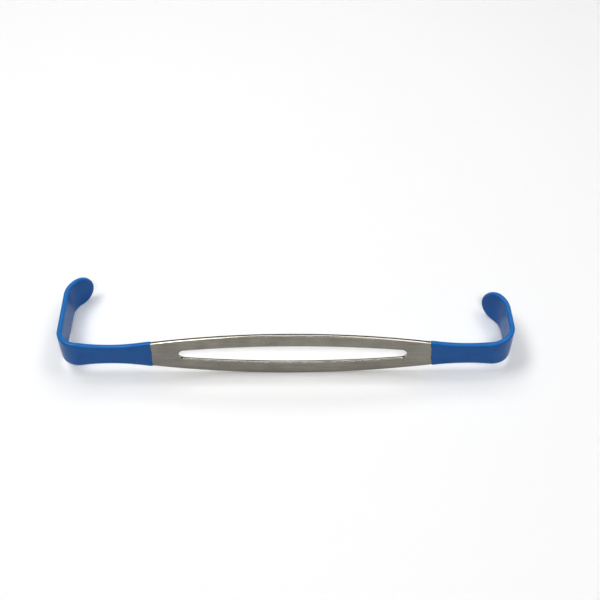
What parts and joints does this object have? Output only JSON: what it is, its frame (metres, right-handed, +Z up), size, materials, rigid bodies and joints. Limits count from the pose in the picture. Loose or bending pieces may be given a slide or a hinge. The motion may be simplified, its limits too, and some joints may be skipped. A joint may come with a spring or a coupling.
{
  "type": "cheek retractor",
  "caption": "Double-ended cheek retractor: bent steel strip with a slotted lens-shaped handle and blue-coated hooks that end in round paddles.",
  "frame": {"origin": "middle of the bounding box on the surface that the retractor stands on, touched by the lower edge of the handle and the rims of both paddles", "axes": "+X along the handle towards the small end, +Y the way the hooks point, +Z up, along the width of the strip, which leans 7.6 degrees towards the hooks"},
  "size_m": [0.1464, 0.0334, 0.0179],
  "materials": {
    "steel": "satin, brushed along the handle",
    "blue_coating": "smooth semi-gloss dipped vinyl"
  },
  "bodies": {
    "root": {"steel_strip": "steel", "large_end_coating": "blue_coating", "small_end_coating": "blue_coating"}
  },
  "joints": []
}
